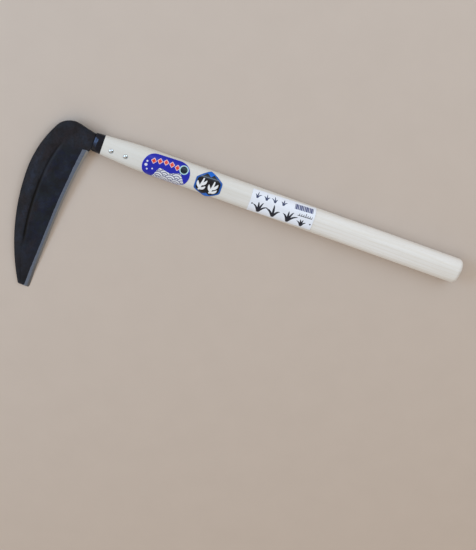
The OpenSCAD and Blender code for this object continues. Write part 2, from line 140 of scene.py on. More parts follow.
def back_arcs():
    """The three arcs of the back after the neck, and the length of the last. Each arc has the
    distance, point and heading where it starts, and its radius. The crown and the shoulder
    turn by their angles, and the last arc spans the chord from there to the blunt end."""
    start, point, heading = NECK_LENGTH, neck_back(NECK_LENGTH), NECK_HEADING
    arcs = []
    for radius, turn in ((CROWN_RADIUS, CROWN_TURN), (SHOULDER_RADIUS, SHOULDER_TURN)):
        arcs.append((start, point, heading, radius))
        length = radius * np.radians(turn)
        point = arc(point, heading, radius, length)
        start, heading = start + length, heading + turn
    slant = np.radians(TIP_SLANT)
    corner = edge_at(EDGE_LENGTH) + TIP_WIDTH * np.array([-np.cos(slant), np.sin(slant)])
    chord = corner - point
    half = np.arctan2(chord[1], chord[0]) + np.radians(360 - heading)
    radius = np.hypot(*chord) / (2 * np.sin(half))
    return arcs + [(start, point, heading, radius)], 2 * half * radius


BACK_ARCS, LAST_LENGTH = back_arcs()
SHOULDER_FROM, LAST_FROM = BACK_ARCS[1][0], BACK_ARCS[2][0]
HEEL_BACK = SHOULDER_FROM + HEEL_PAST_CROWN
FOOT_LINE = np.hypot(*(HEEL - NECK_FOOT))


def back_at(d):
    """The back at a distance from the ferrule: the straight neck, then each arc in turn."""
    d = np.asarray(d, float)
    points = neck_back(d)
    for start, first, heading, radius in BACK_ARCS:
        points = np.where((d < start)[..., None], points, arc(first, heading, radius, d - start))
    return points


def back_beside(foot):
    """The distance along the back that faces a distance along the edge."""
    foot = np.asarray(foot, float)
    near = HEEL_BACK + foot / SHOULDER_FOOT * (LAST_FROM - HEEL_BACK)
    far = LAST_FROM + (foot - SHOULDER_FOOT) / (EDGE_LENGTH - SHOULDER_FOOT) * LAST_LENGTH
    return np.where(foot < SHOULDER_FOOT, near, far)


TAPER_SLOPE = (BUTT_RADIUS - GRIP_RADIUS) / (HANDLE_LENGTH - BUTT_ROUNDING - TAPER_END)


def handle_radius(x):
    """The radius of the oval's round sides: an even front taper, a parabola that blends it
    out, and the nearly even grip."""
    x = np.asarray(x, float)
    front = (GRIP_RADIUS - FRONT_RADIUS) / (TAPER_END - FERRULE_LENGTH)
    cone = FRONT_RADIUS + front * (x - FERRULE_LENGTH)
    past = np.clip(x - (TAPER_END - TAPER_BLEND / 2), 0, None)
    blend = cone + (TAPER_SLOPE - front) * past ** 2 / (2 * TAPER_BLEND)
    return np.where(past < TAPER_BLEND, blend, GRIP_RADIUS + TAPER_SLOPE * (x - TAPER_END))


# The tool is turned by the handle's taper, so that the grip lies flat, and the blade is set
# about the handle's centre line, so that the tip meets the floor
TILT = np.arctan(TAPER_SLOPE)
TIP = edge_at(EDGE_LENGTH)
TIP_DROP = GRIP_RADIUS + TAPER_SLOPE * (TIP[0] - TAPER_END)
BLADE_SET = (np.arcsin(TIP_DROP / np.hypot(TIP[1], NECK_THICK / 2))
             - np.arctan2(NECK_THICK / 2, -TIP[1]))
BUTT_REACH = HANDLE_LENGTH * np.cos(TILT) + (BUTT_RADIUS - BUTT_ROUNDING) * np.sin(TILT)
SHIFT = np.array([
    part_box("handle")[1].x * 1000 - BUTT_REACH,
    (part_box("handle")[0].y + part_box("handle")[1].y) * 500,
    (GRIP_RADIUS - TAPER_SLOPE * TAPER_END) * np.cos(TILT),
])


def laid(points):
    """From the maker's frame in mm to the frame's metres: turned about Y by the handle's
    taper, then shifted."""
    p = np.asarray(points, float)
    c, s = np.cos(TILT), np.sin(TILT)
    x, y, z = p[..., 0], p[..., 1], p[..., 2]
    return np.stack([x * c - z * s, y, z * c + x * s], -1) * MM + SHIFT * MM


def unlaid(points):
    """From the frame's metres back to the maker's frame in mm."""
    p = (np.asarray(points, float) - SHIFT * MM) * 1000
    c, s = np.cos(TILT), np.sin(TILT)
    x, y, z = p[..., 0], p[..., 1], p[..., 2]
    return np.stack([x * c + z * s, y, z * c - x * s], -1)


def in_blade_plane(points):
    """Heights over the blade's flat back, turned about the handle's centre line so that the
    tip meets the floor."""
    p = np.asarray(points, float)
    c, s = np.cos(BLADE_SET), np.sin(BLADE_SET)
    x, y, z = p[..., 0], p[..., 1], p[..., 2] - NECK_THICK / 2
    return np.stack([x, y * c - z * s, y * s + z * c], -1)


# Meshes

def smooth(x, low=0.0, high=1.0):
    """The smooth step 3t^2 - 2t^3 of a value from low to high."""
    t = np.clip((np.asarray(x, float) - low) / (high - low), 0, 1)
    return t * t * (3 - 2 * t)


def waves(x, y, size, count=5, seed=0):
    """A soft uneven field from -1 to 1: a sum of count sine waves in random directions, the
    nth of them n to the power 0.8 times finer than size and weaker in step."""
    r = np.random.default_rng(seed)
    total, weight = np.zeros(np.broadcast(x, y).shape), 0.0
    for n in range(1, count + 1):
        turn, shift = r.uniform(0, 2 * np.pi, 2)
        fine = n ** 0.8 / size * 2 * np.pi
        total += np.sin(fine * (x * np.cos(turn) + y * np.sin(turn)) + shift) / n ** 0.7
        weight += 1 / n ** 0.7
    return total / weight


def linked(name, data):
    """A new object of a mesh, a camera or a light, in the scene."""
    piece = bpy.data.objects.new(name, data)
    bpy.context.scene.collection.objects.link(piece)
    return piece


def mesh_piece(name, points, faces, fields=None, smooth_faces=True):
    """A mesh object from points in metres and faces, with float fields on its points."""
    mesh = bpy.data.meshes.new(name)
    mesh.from_pydata(np.asarray(points).reshape(-1, 3).tolist(), [], faces)
    for field, values in (fields or {}).items():
        mesh.attributes.new(field, "FLOAT", "POINT").data.foreach_set(
            "value", np.asarray(values, np.float32).ravel())
    mesh.polygons.foreach_set("use_smooth", [smooth_faces] * len(mesh.polygons))
    mesh.update()
    return linked(name, mesh)


def merged_copy(node, name):
    """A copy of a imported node's mesh with its points merged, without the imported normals."""
    mesh = nodes[node].data.copy()
    mesh.name = name
    mesh.materials.clear()
    bm = bmesh.new()
    bm.from_mesh(mesh)
    bmesh.ops.remove_doubles(bm, verts=bm.verts, dist=MERGE_WITHIN)
    bm.to_mesh(mesh)
    bm.free()
    mesh.attributes.remove(mesh.attributes["custom_normal"])
    return mesh


def crisp_piece(mesh):
    """A mesh object with smooth faces, and sharp edges where they meet at a wide angle."""
    mesh.shade_smooth()
    mesh.set_sharp_from_angle(angle=np.radians(SHARP_ANGLE))
    return linked(mesh.name, mesh)


def tube_faces(rows, count):
    """Quads of a grid of rows by count points whose rows close on themselves, with the two
    end rows closed by one face each. The rows run against the clock seen from the end."""
    i, k = np.meshgrid(np.arange(rows - 1), np.arange(count), indexing="ij")
    n = (k + 1) % count
    this, above = i * count, (i + 1) * count
    quads = np.stack([this + k, this + n, above + n, above + k], -1).reshape(-1, 4)
    ends = [list(range(count - 1, -1, -1)), list(range((rows - 1) * count, rows * count))]
    return quads.tolist() + ends


# The blade

def sections():
    """Where the blade's sections lie: distances along the back and along the foot. The foot is
    negative on the neck, and the rows crowd at the heel and at the tip."""
    neck_rows, edge_rows = 70, 190
    neck = np.linspace(0, HEEL_BACK, neck_rows)
    neck_foot = -FOOT_LINE * (1 - neck / HEEL_BACK)
    heel = np.array([0.3, 0.6, 0.9, 1.2, 1.8, 2.6, 3.6, 5.0])
    tip = EDGE_LENGTH - np.array([1.0, 0.6, 0.3, 0.0])
    foot = np.concatenate([heel, np.linspace(6.5, EDGE_LENGTH - 1.5, edge_rows), tip])
    return np.concatenate([neck, back_beside(foot)]), np.concatenate([neck_foot, foot])


def feet():
    """The lower ends of the sections: on the neck's straight foot, then on the cutting edge,
    pushed out from the back by the flare towards the tip and drawn in at its worn corner."""
    on_neck = HEEL + (NECK_FOOT - HEEL) * (-FOOT_D / FOOT_LINE)[:, None]
    plain = np.where((FOOT_D < 0)[:, None], on_neck, edge_at(FOOT_D))
    way = (plain - BACKS) / np.hypot(*(plain - BACKS).T)[:, None]
    flare = TIP_FLARE * smooth(FOOT_D, FLARE_FROM, FLARE_TO)
    worn = np.clip((FOOT_D - CORNER_FROM) / (EDGE_LENGTH - CORNER_FROM), 0, 1)
    return plain + way * (flare - TIP_CORNER * worn ** 2)[:, None]


# For each section, its ends, width and direction
BACK_D, FOOT_D = sections()
BACKS = back_at(BACK_D)
FEET = feet()
WIDTH = np.hypot(*(FEET - BACKS).T)
WAY = (FEET - BACKS) / WIDTH[:, None]
# How far it is down the edge, round the crown, and from the neck to the heel, from 0 to 1
ALONG = np.clip(FOOT_D / EDGE_LENGTH, 0, 1)
BAND = np.clip((BACK_D - NECK_LENGTH) / (SHOULDER_FROM - NECK_LENGTH), 0, 1)
THIN = np.clip((BACK_D - NECK_LENGTH) / (HEEL_BACK - NECK_LENGTH), 0, 1)
# Its bevel, on a parabola through the three widths, its thicknesses and its crease
BEVEL = (BEVEL_HEEL * (1 - ALONG) * (1 - 2 * ALONG) + 4 * BEVEL_MIDDLE * ALONG * (1 - ALONG)
         + BEVEL_TIP * ALONG * (2 * ALONG - 1))
SPINE = NECK_THICK + (BACK_THICK - NECK_THICK) * BAND + (TIP_THICK - BACK_THICK) * ALONG ** 2
FLANK = NECK_THICK + (FLANK_THICK * (1 - FLANK_THINS * ALONG) - NECK_THICK) * THIN
CREASE_AT = CREASE_SHARE + CREASE_DRIFT * np.clip(1 - FOOT_D / DRIFT_LENGTH, 0, 1)
CREASE = smooth(FOOT_D, *CREASE_SETS_IN) * smooth(FOOT_D, *CREASE_RUNS_OUT)
# Whether it lies over the hard steel, how much of its bevel the steel takes, which is the part
# of the bevel's straight fall that is lower than the steel's top, and how far back that reaches
BEDDED = FOOT_D > STEEL_FROM - 0.01
ON_STEEL = BEVEL * (STEEL_THICK - EDGE_LAND) / (FLANK - EDGE_LAND)
STEEL_REACH = np.minimum(STEEL_WIDTH, STEEL_SHARE * WIDTH)


def ground(points):
    """How far the wheel has reached, 0 to 1: all of the blade on the tip's side of a straight
    line across its heel."""
    along = (GROUND_END[1] - GROUND_END[0]) / np.hypot(*(GROUND_END[1] - GROUND_END[0]))
    off = points - GROUND_END[0]
    return smooth(off[..., 0] * along[1] - off[..., 1] * along[0], *GROUND_FADE)


def across_at(x, rows=slice(None)):
    """The places in the blade's plane of points x across its sections, from the back."""
    return BACKS[rows, None] + WAY[rows, None] * x[..., None]


def section_points(x, z, rows=slice(None)):
    """Puts section points, x across and z over the flat back, on the lines of the sections."""
    return laid(in_blade_plane(np.concatenate([across_at(x, rows), z[..., None]], -1)))


def top_height(share):
    """The height of the upper face across the blade, from the back (0) to the bevel (1): a
    rounded band that stands full, falls away at the crease, dips into it, and a flank that
    goes on sinking evenly to the bevel. Forging left it a little uneven."""
    x = share * (WIDTH - BEVEL)[:, None]
    s = x / WIDTH[:, None]
    spine, low = SPINE[:, None], FLANK[:, None]
    line = CREASE_AT[:, None]
    fall = FALL_SHARE * smooth(s - line, *FALL_BETWEEN)
    ramp = np.clip((s - line) / (1 - BEVEL[:, None] / WIDTH[:, None] - line), 0, 1)
    height = spine + (low - spine) * (fall + (1 - FALL_SHARE) * ramp)
    rise = np.sin(np.pi * np.clip(s / BAND_TOP, 0, 1)) ** BAND_POWER
    height += BAND_RISE * BAND[:, None] * rise
    off = (s - line) * WIDTH[:, None]
    wide = np.where(off < 0, CREASE_UPPER, CREASE_LOWER)
    height -= CREASE_DEEP * CREASE[:, None] * np.exp(-(off / wide) ** 2)
    edge = np.clip(1 - x / FORGED_ROUND, 0, 1)
    height -= FORGED_ROUND * (1 - np.sqrt(1 - edge ** 2))
    at = across_at(x)
    dents = sum(waves(at[..., 0], at[..., 1], size, count, seed) * deep
                for size, count, seed, deep in DENTS)
    calm = smooth(share, 0, 0.05) * smooth(1 - share, 0, 0.03)
    return x, height + dents * calm * smooth(BACK_D, 0, 10)[:, None]


# Places on the blade, in mm across and along it: middle, half length, half width, heading in
# degrees, strength
SCORCHED = ((-26, 2, 14, 6, 15, 1.0), (-38, -20, 15, 5, 243, 1.0),
            (-45, -36, 10, 3, 255, 0.9), (-37, -52, 9, 3.5, 265, 0.8),
            (-51, -96, 10, 3, 268, 0.8), (-39, -101, 8, 4, 250, 1.0),
            (-40, -117, 7, 3, 265, 0.8), (-30, -151, 13, 3, 255, 0.8),
            (-38, -180, 12, 5, 275, 1.0), (-12, 7, 9, 3, 165, 0.6), (-9, -9, 7, 2.5, 10, 0.8))
# Paler places: the streaks along the band are a painted sheen, the neck's patches and one small
# spot are paler scale
WEAR_AND_SHEEN = ((-51, -46, 12, 2.4, 262, 0.8), (-51.5, -64, 13, 2.4, 268, 1.0),
        (-51, -80, 11, 2.2, 270, 0.8), (-48, -111, 9, 2.6, 268, 0.8), (-13, 1, 6, 4, 170, 0.8),
        (-8, -2, 5, 3, 170, 0.7), (-47, -143, 14, 2.5, 272, 0.4), (-37.5, -59, 1.5, 1.3, 0, 1.0))
# Darker places; the last, along the neck's top, is a painted dark reflection
SHADED = ((-21, -58, 9, 3.5, 20, 1.0), (-39, -101, 6, 3, 250, 0.6), (-30, -72, 5, 4, 250, 0.3),
          (-14, 11, 15, 3, 162, 1.0))
TIP_GREY = ((-28, -180, 26, 12, 260, 1.0),)
# How far the ovals' outlines are bent, by waves how wide
OVALS_BENT, OVALS_WAVE = 2.2, 13


def ovals(at, places):
    """Soft ovals on the blade: the greatest of their bell curves at each point, with the
    outlines bent a few millimetres by waves."""
    plain_x, plain_y = at[..., 0], at[..., 1]
    x = plain_x + OVALS_BENT * waves(plain_x, plain_y, OVALS_WAVE, 4, 21)
    y = plain_y + OVALS_BENT * waves(plain_x, plain_y, OVALS_WAVE, 4, 22)
    best = np.zeros(x.shape)
    for px, py, long, wide, heading, strength in places:
        c, s = np.cos(np.radians(heading)), np.sin(np.radians(heading))
        u, w = ((x - px) * c + (y - py) * s) / long, ((y - py) * c - (x - px) * s) / wide
        best = np.maximum(best, strength * np.exp(-(u * u + w * w)))
    return best


def forged_body():
    """The soft iron body: its section runs up the rounded back, over the upper face, down the
    bevel to the hard steel, under that to the flat back, and home. The bevel falls in a
    straight line where the wheel has reached, and is left round above that."""
    # How far the iron laps over the steel and the back's lower corner is set in, and what
    # stands in the fields for a place that is not on the upper face
    lap, inset, far = 0.02, 0.35, 20.0
    round_back, up_side = [0, 0.004, 0.009, 0.015, 0.022, 0.03], np.array([0.3, 0.65, 0.9])
    share = np.concatenate([round_back, np.linspace(0.045, 1, 84)])
    x, top = top_height(share[None, :])
    rows = len(WIDTH)
    run = np.linspace(0, 1, 13)[1:]
    bevel_x = (WIDTH - BEVEL)[:, None] + run * (BEVEL - ON_STEEL)[:, None]
    down = run * (1 - ON_STEEL / BEVEL)[:, None]
    whole = top[:, -1:] - FORGED_ROUND * down ** 3
    cut = top[:, -1:] * (1 - down) + EDGE_LAND * down
    bevel_z = whole + (cut - whole) * ground(across_at(bevel_x))
    at_foot = ground(FEET)
    side = (FLANK - FORGED_ROUND) * (1 - at_foot) + EDGE_LAND * at_foot
    bed = STEEL_THICK * BEDDED
    low_x = np.stack([WIDTH - (ON_STEEL + lap) * BEDDED, WIDTH - STEEL_REACH * BEDDED,
                      WIDTH - STEEL_REACH], -1)
    low_z = np.stack([np.where(BEDDED, bed, side), bed, np.zeros(rows)], -1)
    under_x = np.linspace(1, 0, 14)[1:] * (WIDTH - STEEL_REACH)[:, None]
    under_x[:, -1] += inset
    across = np.concatenate([x, bevel_x, low_x, under_x, np.zeros((rows, up_side.size))], -1)
    height = np.concatenate([top, bevel_z, low_z, 0 * under_x, top[:, :1] * up_side], -1)
    on_top = np.arange(across.shape[1]) < share.size + run.size
    at = across_at(across)
    from_crease = across - (CREASE_AT * WIDTH)[:, None]
    foot = np.broadcast_to(FOOT_D[:, None], across.shape)
    fields = {
        "from_bevel": np.where(on_top, across - (WIDTH - BEVEL)[:, None], -far),
        "ground": ground(at) * on_top,
        "from_crease": from_crease,
        # how strongly the painted crease shade darkens the scale
        "crease": (CREASE * (0.2 + 0.8 * smooth(FOOT_D, 8, 75)))[:, None] * on_top,
        "flank": smooth(from_crease, -3, 4) * smooth(foot, -2, 12),
        "from_back": np.where(on_top, across, far),
        "along": foot,
        "scorched": ovals(at, SCORCHED),
        "worn": ovals(at, WEAR_AND_SHEEN) * on_top,
        "shaded": ovals(at, SHADED),
        "tip_grey": ovals(at, TIP_GREY),
    }
    return mesh_piece("forged_blade", section_points(across, height),
                      tube_faces(rows, across.shape[1]), fields)


def hard_steel():
    """The hard steel under the edge: flat below, bedded in the iron above, and cut by the
    bevel down to the cutting edge."""
    rows = np.where(BEDDED)[0]
    width, on, back = (sizes[rows, None] for sizes in (WIDTH, ON_STEEL, STEEL_REACH))
    run = np.linspace(0, 1, 8)
    face_x = width - on + on * run
    face_z = STEEL_THICK + (EDGE_LAND - STEEL_THICK) * run + 0 * face_x
    under_x = width - back * np.linspace(0, 1, 10)
    x = np.concatenate([width - back, face_x, under_x], -1)
    z = np.concatenate([np.full(width.shape, STEEL_THICK), face_z, 0 * under_x], -1)
    fields = {
        "from_edge": width - x,
        "below": np.broadcast_to(np.arange(x.shape[1]) > run.size, x.shape),
        "along": np.broadcast_to(FOOT_D[rows, None], x.shape),
    }
    return mesh_piece("hard_steel_edge", section_points(x, z, rows),
                      tube_faces(len(rows), x.shape[1]), fields)


def tang():
    """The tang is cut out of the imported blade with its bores: all of it further in front of
    the ferrule than a small step is cut away, and the cut is closed."""
    mesh = merged_copy("blade_body", "tang")
    bm = bmesh.new()
    bm.from_mesh(mesh)
    cut = bmesh.ops.bisect_plane(
        bm, geom=bm.verts[:] + bm.edges[:] + bm.faces[:], dist=MERGE_WITHIN,
        plane_co=laid([-TANG_FRONT, 0, 0]), plane_no=(1, 0, 0), clear_inner=True)
    rim = [part for part in cut["geom_cut"] if isinstance(part, bmesh.types.BMEdge)]
    bmesh.ops.contextual_create(bm, geom=rim)
    bmesh.ops.recalc_face_normals(bm, faces=bm.faces)
    bm.to_mesh(mesh)
    bm.free()
    return crisp_piece(mesh)


# The ferrule and the handle

def cup_height(x):
    """Half the cup's height at a distance from its front: an even slope up from the front, a
    parabola that rounds it out, the cup's own slight taper, and a small round at the rim."""
    left = np.clip(SLOPE_LONG - x, 0, None)
    bend = SLOPE_LONG - SLOPE_EVEN
    deep = SLOPE_RATE * np.where(left < bend, left ** 2 / (2 * bend), left - bend / 2)
    deep += FRONT_ROUND * (1 - np.sqrt(1 - np.clip(1 - x / FRONT_ROUND, 0, 1) ** 2))
    return CUP_FRONT + (CUP_REAR - CUP_FRONT) * x / FERRULE_LENGTH - deep


def ferrule_cup():
    """The pressed cup over the handle's front. Its section is the handle's oval, two half
    circles with straight joins, and turns mostly into an ellipse at the front. Pressing drew
    the front over in an even slope that rounds out above and below the neck, and in a short
    quarter circle at the sides. A thin wall leads back inside to the middle."""
    middle, crowning = 0.3, 0.8
    x = np.concatenate([np.linspace(0, SLOPE_LONG, 40),
                        np.linspace(SLOPE_LONG, FERRULE_LENGTH - 0.1, 7)[1:], [FERRULE_LENGTH]])
    high = cup_height(x)
    full = CUP_FRONT + (CUP_REAR - CUP_FRONT) * x / FERRULE_LENGTH
    side = full - CUP_RIM * (1 - np.sqrt(1 - np.clip(1 - x / CUP_RIM, 0, 1) ** 2))
    tall, wide = (np.concatenate([[middle], out, (out - CUP_WALL)[::-1], [middle]])[:, None]
                  for out in (high, side))
    wide = wide + HALF_SPACING
    along = np.concatenate([[0], x, np.maximum(x[::-1], CUP_WALL), [CUP_WALL]])[:, None]
    half = np.linspace(-np.pi / 2, np.pi / 2, 60)
    around = np.concatenate([half, half + np.pi])
    way = np.repeat([1.0, -1.0], half.size)
    spread = np.clip(wide - tall, 0, None) * way
    crowned = crowning * smooth(-along, -SLOPE_LONG, -1)
    spread[[0, -1]], crowned[[0, -1]] = way * middle, 0
    y = (1 - crowned) * (spread + tall * np.cos(around)) + crowned * wide * np.cos(around)
    points = np.stack([along + 0 * y, y, tall * np.sin(around)], -1)
    return mesh_piece("ferrule_cup", laid(points), tube_faces(along.size, around.size))


def wooden_handle():
    """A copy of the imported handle, whose tenon is dressed down to the cup's sloping shoulder:
    its points in front of the slope's end, but not the tang's slot, sink in the ratio of the
    cup's height inside to the tenon's."""
    mesh = merged_copy("handle", "wooden_handle")
    at = np.empty(len(mesh.vertices) * 3)
    mesh.vertices.foreach_get("co", at)
    at = at.reshape(-1, 3)
    own = unlaid(at)
    slot = (np.abs(own[:, 2]) < SLOT_HIGH) & (np.abs(own[:, 1]) < SLOT_WIDE)
    share = (cup_height(own[:, 0]) - CUP_WALL - TENON_PLAY) / (CUP_FRONT - CUP_WALL)
    share = np.where((own[:, 0] < SLOPE_LONG) & ~slot, np.minimum(share, 1), 1)
    own[:, 2] *= share
    mesh.vertices.foreach_set("co", np.where(share[:, None] < 1, laid(own), at).ravel())
    return crisp_piece(mesh)


# Labels

def on_handle(x, girth, lift):
    """A point on the handle at a distance along it and a distance round it from the top, at a
    lift over the wood: flat in the middle, then round the oval's side."""
    r = handle_radius(x)
    turn = np.clip(np.abs(girth) - HALF_SPACING, 0, None) / r
    y = np.sign(girth) * (np.minimum(np.abs(girth), HALF_SPACING) + (r + lift) * np.sin(turn))
    return np.stack([x, y, (r + lift) * np.cos(turn)], -1)


def reach(inside, angles, farthest=80.0, halvings=34):
    """How far a star-shaped outline reaches in each direction, by halving: inside(p, q) is
    above zero within the outline."""
    low, high = np.zeros_like(angles), np.full_like(angles, farthest)
    for _ in range(halvings):
        middle = (low + high) / 2
        within = inside(middle * np.cos(angles), middle * np.sin(angles)) > 0
        low, high = np.where(within, middle, low), np.where(within, high, middle)
    return low


def lay_label(name, p, q, faces, spot, fields, lift):
    """Turns the label by its tilt, lays its middle on its spot, along the handle and round it,
    and gives the film its thickness. fields and lift are functions of the place on the label."""
    t = np.radians(LABEL_TILT)
    x = spot[0] + p * np.cos(t) - q * np.sin(t)
    girth = spot[1] + p * np.sin(t) + q * np.cos(t)
    points = laid(on_handle(x, girth, GLUE + FILM + lift(p, q)))
    piece = mesh_piece(name, points, faces, {key: draw(p, q) for key, draw in fields.items()})
    film = piece.modifiers.new("film", "SOLIDIFY")
    film.thickness, film.offset = FILM * MM, -1
    return piece


def round_label(name, inside, spot, fields, lift, rings=64, spokes=288):
    """A label cut to a star-shaped outline: rings from its middle out to the outline."""
    angles = np.linspace(0, 2 * np.pi, spokes, endpoint=False)
    share = np.linspace(0, 1, rings + 1)[1:, None]
    far = reach(inside, angles)
    p = np.concatenate([[0.0], (share * far * np.cos(angles)).ravel()])
    q = np.concatenate([[0.0], (share * far * np.sin(angles)).ravel()])
    k = np.arange(spokes)
    n = (k + 1) % spokes
    faces = np.stack([0 * k, 1 + k, 1 + n], -1).tolist()
    i = np.arange(rings - 1)[:, None] * spokes + 1
    quads = np.stack([i + k, i + spokes + k, i + spokes + n, i + n], -1).reshape(-1, 4)
    return lay_label(name, p, q, faces + quads.tolist(), spot, fields, lift)


def square_label(name, size, spot, fields, lift, step=0.28):
    """A label with square corners: an even grid."""
    across, down = (int(side / step) + 1 for side in size)
    p, q = np.meshgrid(np.linspace(-size[0] / 2, size[0] / 2, across),
                       np.linspace(-size[1] / 2, size[1] / 2, down), indexing="ij")
    i, k = np.meshgrid(np.arange(across - 1), np.arange(down - 1), indexing="ij")
    first = i * down + k
    quads = np.stack([first, first + down, first + down + 1, first + 1], -1).reshape(-1, 4)
    return lay_label(name, p.ravel(), q.ravel(), quads.tolist(), spot, fields, lift)


# What is printed on the labels, as distances in mm that are below zero in the ink

def near_strokes(p, q, strokes, steps=14):
    """The distance to the nearest of some strokes, each [three points, width at the start, in
    the middle and at the end]: a curve of the second degree, drawn as discs along it. Below
    zero is inside."""
    best = np.full(p.shape, 99.0)
    t = np.linspace(0, 1, steps)
    for a, b, c, w0, w1, w2 in strokes:
        line = np.outer((1 - t) ** 2, a) + np.outer(2 * t * (1 - t), b) + np.outer(t ** 2, c)
        wide = w0 * (1 - t) * (1 - 2 * t) + 4 * w1 * t * (1 - t) + w2 * t * (2 * t - 1)
        for (x0, y0), (x1, y1), r0, r1 in zip(line[:-1], line[1:], wide[:-1], wide[1:]):
            dx, dy = x1 - x0, y1 - y0
            u = np.clip(((p - x0) * dx + (q - y0) * dy) / (dx * dx + dy * dy + 1e-9), 0, 1)
            gap = np.hypot(p - x0 - u * dx, q - y0 - u * dy) - (r0 + (r1 - r0) * u) / 2
            best = np.minimum(best, gap)
    return best


def tuft(x, y, high, blades, lean=0.0, thick=1.0):
    """Strokes of one tuft of grass: blades that fan out from one foot and droop outwards."""
    out = []
    for i in range(blades):
        side = (i - (blades - 1) / 2) / max(blades - 1, 1) * 2
        tall = high * (1 - 0.25 * abs(side))
        bend = (side * 0.55 + lean) * high
        out.append(((x + side * 0.6, y), (x + bend * 0.35, y + tall * 0.62),
                    (x + bend, y + tall * (0.95 - 0.25 * abs(side))),
                    thick, thick * 1.15, thick * 0.2))
    return out


def oval_inside(p, q):
    """Above zero inside the oval, which has straight sides and half an ellipse at each end."""
    over = np.clip(np.abs(p) - (OVAL_HALF - OVAL_ROUND), 0, None)
    return 1 - (over / OVAL_ROUND) ** 2 - (q / OVAL_TALL) ** 2


# The directions of the six sides, in degrees, and how far each lies from the middle
SIX_SIDES = ((0, 15.0), (53, 14.4), (127, 14.8), (180, 15.3), (233, 14.4), (307, 13.7))
SIX_SHARPNESS = 26


def six_inside(p, q):
    """Above zero inside a six-sided outline with slightly round corners: the sum of high
    powers of how far the point goes towards each side, kept below one."""
    total = 0
    for degrees, far in SIX_SIDES:
        towards = p * np.cos(np.radians(degrees)) + q * np.sin(np.radians(degrees))
        total = total + np.clip(towards / far, 0, None) ** SIX_SHARPNESS
    return 1 - total


def wave_scales(p, q):
    """The old pattern of overlapping wave scales: the distance from the nearest ring of the
    scale in front. Each row is set half a scale over."""
    wide, apart, radius, rings = 14.0, 3.8, 7.2, (6.6, 3.9, 1.2)
    best = np.full(p.shape, 9.0)
    covered = np.zeros(p.shape, bool)
    for row in range(-7, 5):
        x = (p + (wide / 2 if row % 2 else 0.0) + wide / 2) % wide - wide / 2
        r = np.hypot(x, q - (row * apart + 1.0))
        here = (r < radius) & ~covered
        best = np.where(here, np.minimum.reduce([np.abs(r - ring) for ring in rings]), best)
        covered |= here
    return best


def sea(p, q):
    """Below zero in the sea that the wave scales fill: its surface rolls in a sine wave and
    sinks away towards both ends of the label."""
    roll = 0.2 + 1.4 * np.sin(p * 0.27 + 0.4)
    return q + roll + 16 * smooth(-p, 6, 17) + 9 * smooth(p, 16, 24)


# Middles of the lozenges, and middles and radii of the stars and the moon
LOZENGES = ((-15.5, 6.6), (-8.8, 8.0), (-2.0, 8.6), (4.8, 8.0), (11.4, 6.4))
STARS = ((-22.4, 4.4, 1.1), (-22.8, 0.0, 1.7), (-20.6, -4.6, 1.0), (-15.0, -2.6, 0.9))
MOON = ((19.0, 6.2, 4.2),)


def lozenges(p, q):
    """Diamonds in a row that bends gently."""
    return np.minimum.reduce([np.abs(p - x) * 0.8 + np.abs(q - y) * 0.75 - 2.0
                              for x, y in LOZENGES])


def discs(p, q, places):
    """The distance to the nearest of some discs."""
    return np.minimum.reduce([np.hypot(p - x, q - y) - r for x, y, r in places])


OVAL_FIELDS = {
    "waves": wave_scales,
    "sea": sea,
    "lozenges": lozenges,
    "moon": lambda p, q: discs(p, q, MOON),
    "stars": lambda p, q: discs(p, q, STARS),
    "rim": lambda p, q: oval_inside(p, q) * 8,
}

# Two sprigs, each a stem and three leaves
SPRIGS = [((-7.6, -5.0), (-6.4, 0.5), (-5.4, 6.4), 1.5, 1.7, 1.0),
          ((-7.0, -3.0), (-10.0, -1.0), (-10.4, 3.0), 1.2, 2.4, 0.5),
          ((-6.6, 0.2), (-3.4, 1.2), (-2.4, 5.0), 1.2, 2.4, 0.5),
          ((-7.4, -4.2), (-4.0, -4.0), (-2.6, -1.0), 1.2, 2.3, 0.5),
          ((3.0, -6.0), (4.6, -0.5), (5.0, 5.6), 1.5, 1.7, 1.0),
          ((3.6, -4.0), (1.2, -2.0), (0.6, 2.0), 1.2, 2.3, 0.5),
          ((4.4, -1.4), (7.6, 0.0), (8.6, 4.0), 1.2, 2.5, 0.5),
          ((3.4, -5.2), (7.0, -5.0), (8.8, -1.6), 1.2, 2.4, 0.5)]
# How much smaller the black field is than the label, and how much larger the sprigs are drawn
FIELD_SHARE, SPRIGS_LARGER = 13.2 / 15.0, 1.2
SIX_FIELDS = {
    "field": lambda p, q: six_inside(p / FIELD_SHARE, q / FIELD_SHARE),
    "gems": lambda p, q: np.abs(p - 0.3) * 0.85 + np.abs(np.abs(q - 0.4) - 13.8) - 4.2,
    "line": lambda p, q: np.maximum(np.abs(q - 8.9), np.abs(p) - 10.5) - 0.35,
    "sprigs": lambda p, q: near_strokes(p / SPRIGS_LARGER, q / SPRIGS_LARGER + 0.8,
                                        SPRIGS) * SPRIGS_LARGER - 0.1,
}

# Tufts of grass, large below and small above
BRUSH = (tuft(-26, -11.0, 15.5, 4, 0.05, 1.9) + tuft(-8.5, -11.5, 15, 3, -0.1, 2.2)
         + tuft(9, -12.0, 16, 4, 0.12, 2.0) + tuft(25.5, -12.5, 10, 4, -0.05, 1.5))
SMALL_BRUSH = (tuft(-31.5, 5.4, 7.0, 3, 0.15, 1.0) + tuft(-20.5, 5.4, 6.6, 3, 0.0, 1.1)
               + tuft(-10.5, 5.4, 7.0, 3, -0.15, 1.0) + tuft(-0.5, 5.2, 6.6, 3, 0.1, 1.1))
DOTS = ((-35.0, -2.6, 0.95), (35.5, -7.4, 0.95))


